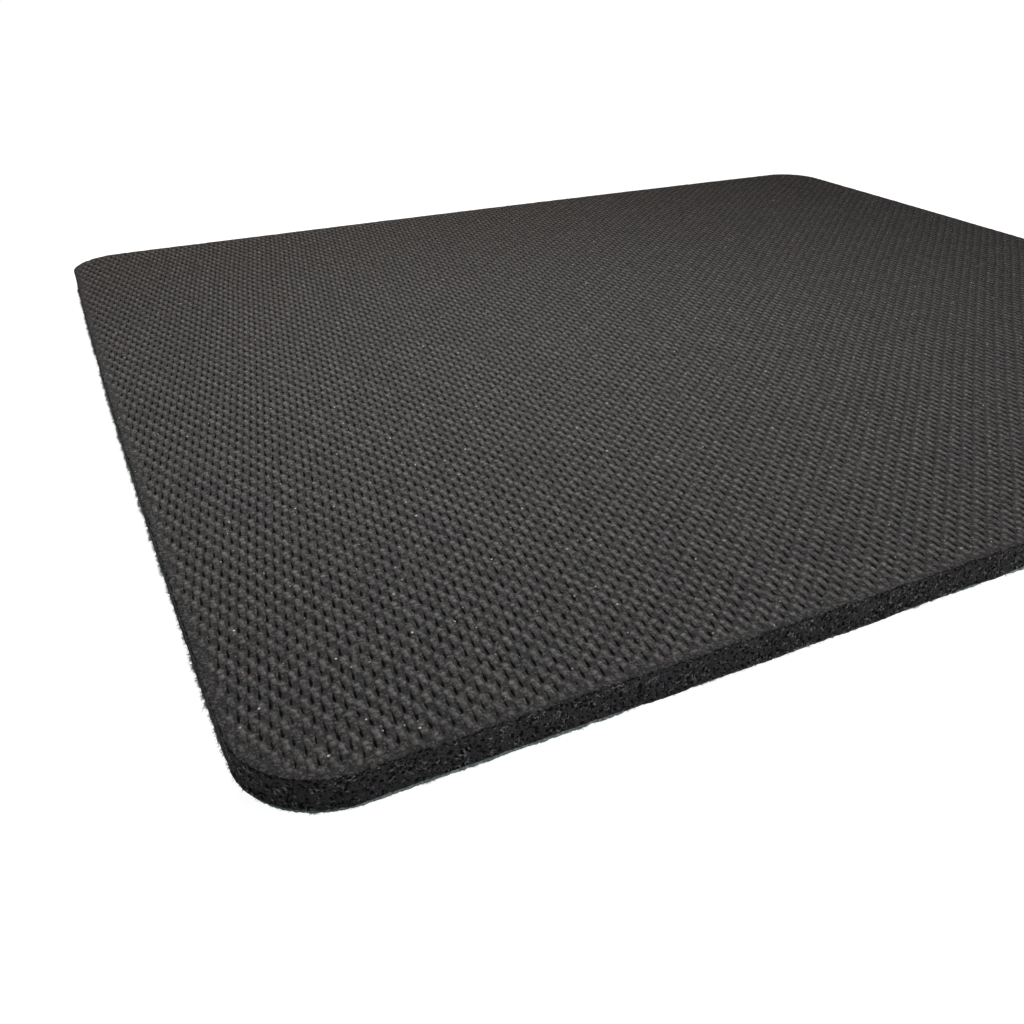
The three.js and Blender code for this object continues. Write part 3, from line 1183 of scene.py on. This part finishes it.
def fibre_material():
    """Pale teal fibres, each with a tone of its own, painted paler still as a painted glow of
    light through them.
    """
    made, tree, shader = material("cut_fibres")
    tone = attribute(tree, "tone")
    mottle = noise(tree, place(tree), 0.5, 2.0, 0.5)
    base = blend(tree, span(tree, tone, 0.0, 0.5), *FIBRE_GREENS)
    # Painted light: the palest tones stand in for light shining through the fibres
    base = stain(tree, base, tone, 0.5, 0.8, 1.0, FIBRE_BACKLIT_WHITE)
    feed(tree, shader, {
        "Base Color": stain(tree, base, mottle, 0.4, 0.7, 0.4, FIBRE_MOTTLE),
        "Roughness": span(tree, mottle, 0.3, 0.7, 0.5, 0.75),
        "Sheen Weight": 0.25,
        "Normal": bump(tree, mottle, 0.2, 0.02),
    })
    return made


# Stage

def show_backdrop(tree, output, lighting, backdrop):
    """Shows a backdrop shader to the camera, mirrored and through glass too.

    Everything else is lit by the other shader."""
    rays = node(tree, "LightPath").outputs
    seen = rays["Is Camera Ray"]
    for name in ("Is Glossy Ray", "Is Transmission Ray"):
        seen = maths(tree, "MAXIMUM", seen, rays[name])
    shaders = {0: seen, 1: lighting.outputs[0], 2: backdrop.outputs[0]}
    feed(tree, output, {"Surface": node(tree, "MixShader", shaders).outputs[0]})


def make_world():
    world = bpy.data.worlds.new("studio")
    bpy.context.scene.world = world
    tree, output = cleared_tree(world, "OutputWorld")
    room = node(tree, "Background", {"Color": ROOM_COLOUR, "Strength": ROOM_STRENGTH})
    backdrop = node(tree, "Background", {"Color": WHITE})
    show_backdrop(tree, output, room, backdrop)


def make_floor():
    """A pale floor that takes the pad's shadow, and looks white where nothing shades it."""
    corners = FLOOR_HALF * np.array([(-1, -1, 0), (1, -1, 0), (1, 1, 0), (-1, 1, 0)])
    corners[:, 2] = FLOOR_LEVEL
    mesh = bpy.data.meshes.new("floor")
    mesh.from_pydata((corners * MM).tolist(), [], [(0, 1, 2, 3)])
    floor = bpy.data.objects.new("floor", mesh)
    bpy.context.scene.collection.objects.link(floor)
    made = bpy.data.materials.new("pale_floor")
    tree, output = cleared_tree(made, "OutputMaterial")
    plain = node(tree, "BsdfDiffuse", {"Color": FLOOR_GREY})
    shaded = node(tree, "BsdfDiffuse", {"Color": SEEN_FLOOR_GREY})
    glow = node(tree, "Emission", {"Strength": SEEN_FLOOR_GLOW})
    bright = node(tree, "AddShader", {0: shaded.outputs[0], 1: glow.outputs[0]})
    show_backdrop(tree, output, plain, bright)
    mesh.materials.append(made)


def make_lamp(name, place_mm, aim_mm, size_mm, power, colour):
    lamp = bpy.data.lights.new(name, "AREA")
    lamp.shape = "RECTANGLE"
    lamp.size, lamp.size_y = (side * MM for side in size_mm)
    lamp.energy = power
    lamp.color = colour
    made = bpy.data.objects.new(name, lamp)
    bpy.context.scene.collection.objects.link(made)
    start, end = Vector(place_mm) * MM, Vector(aim_mm) * MM
    made.location = start
    made.rotation_mode = "QUATERNION"
    made.rotation_quaternion = (end - start).to_track_quat("-Z", "Y")


def make_camera():
    data = bpy.data.cameras.new("camera")
    data.sensor_width = SENSOR_WIDTH
    data.lens = LENS
    data.clip_start, data.clip_end = NEAREST_SEEN, FURTHEST_SEEN
    camera = bpy.data.objects.new("camera", data)
    bpy.context.scene.collection.objects.link(camera)
    forward = Vector(CAMERA_FORWARD).normalized()
    right = Vector(CAMERA_RIGHT)
    right = (right - forward * right.dot(forward)).normalized()
    up = right.cross(forward)
    turn = Matrix((right, up, -forward)).transposed().to_4x4()
    camera.matrix_world = Matrix.Translation(Vector(CAMERA_PLACE) * MM) @ turn
    bpy.context.scene.camera = camera


make_camera()
make_world()
make_floor()
for lamp_name, lamp_values in LAMPS.items():
    make_lamp(lamp_name, *lamp_values)
bpy.context.scene.view_settings.view_transform = "Standard"

skin = skin_piece()
skin.data.materials.append(skin_material())
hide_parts("grip_skin")

sponge = sponge_piece()
sponge.data.materials.append(sponge_material())
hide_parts("sponge_core")

film = film_piece()
film.data.materials.append(film_material())
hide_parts("bonding_film")

cloth = cloth_piece()
cloth.data.materials.append(cloth_material())
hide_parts("cloth_cover")

fringe = fringe_piece()
fringe.data.materials.append(fibre_material())
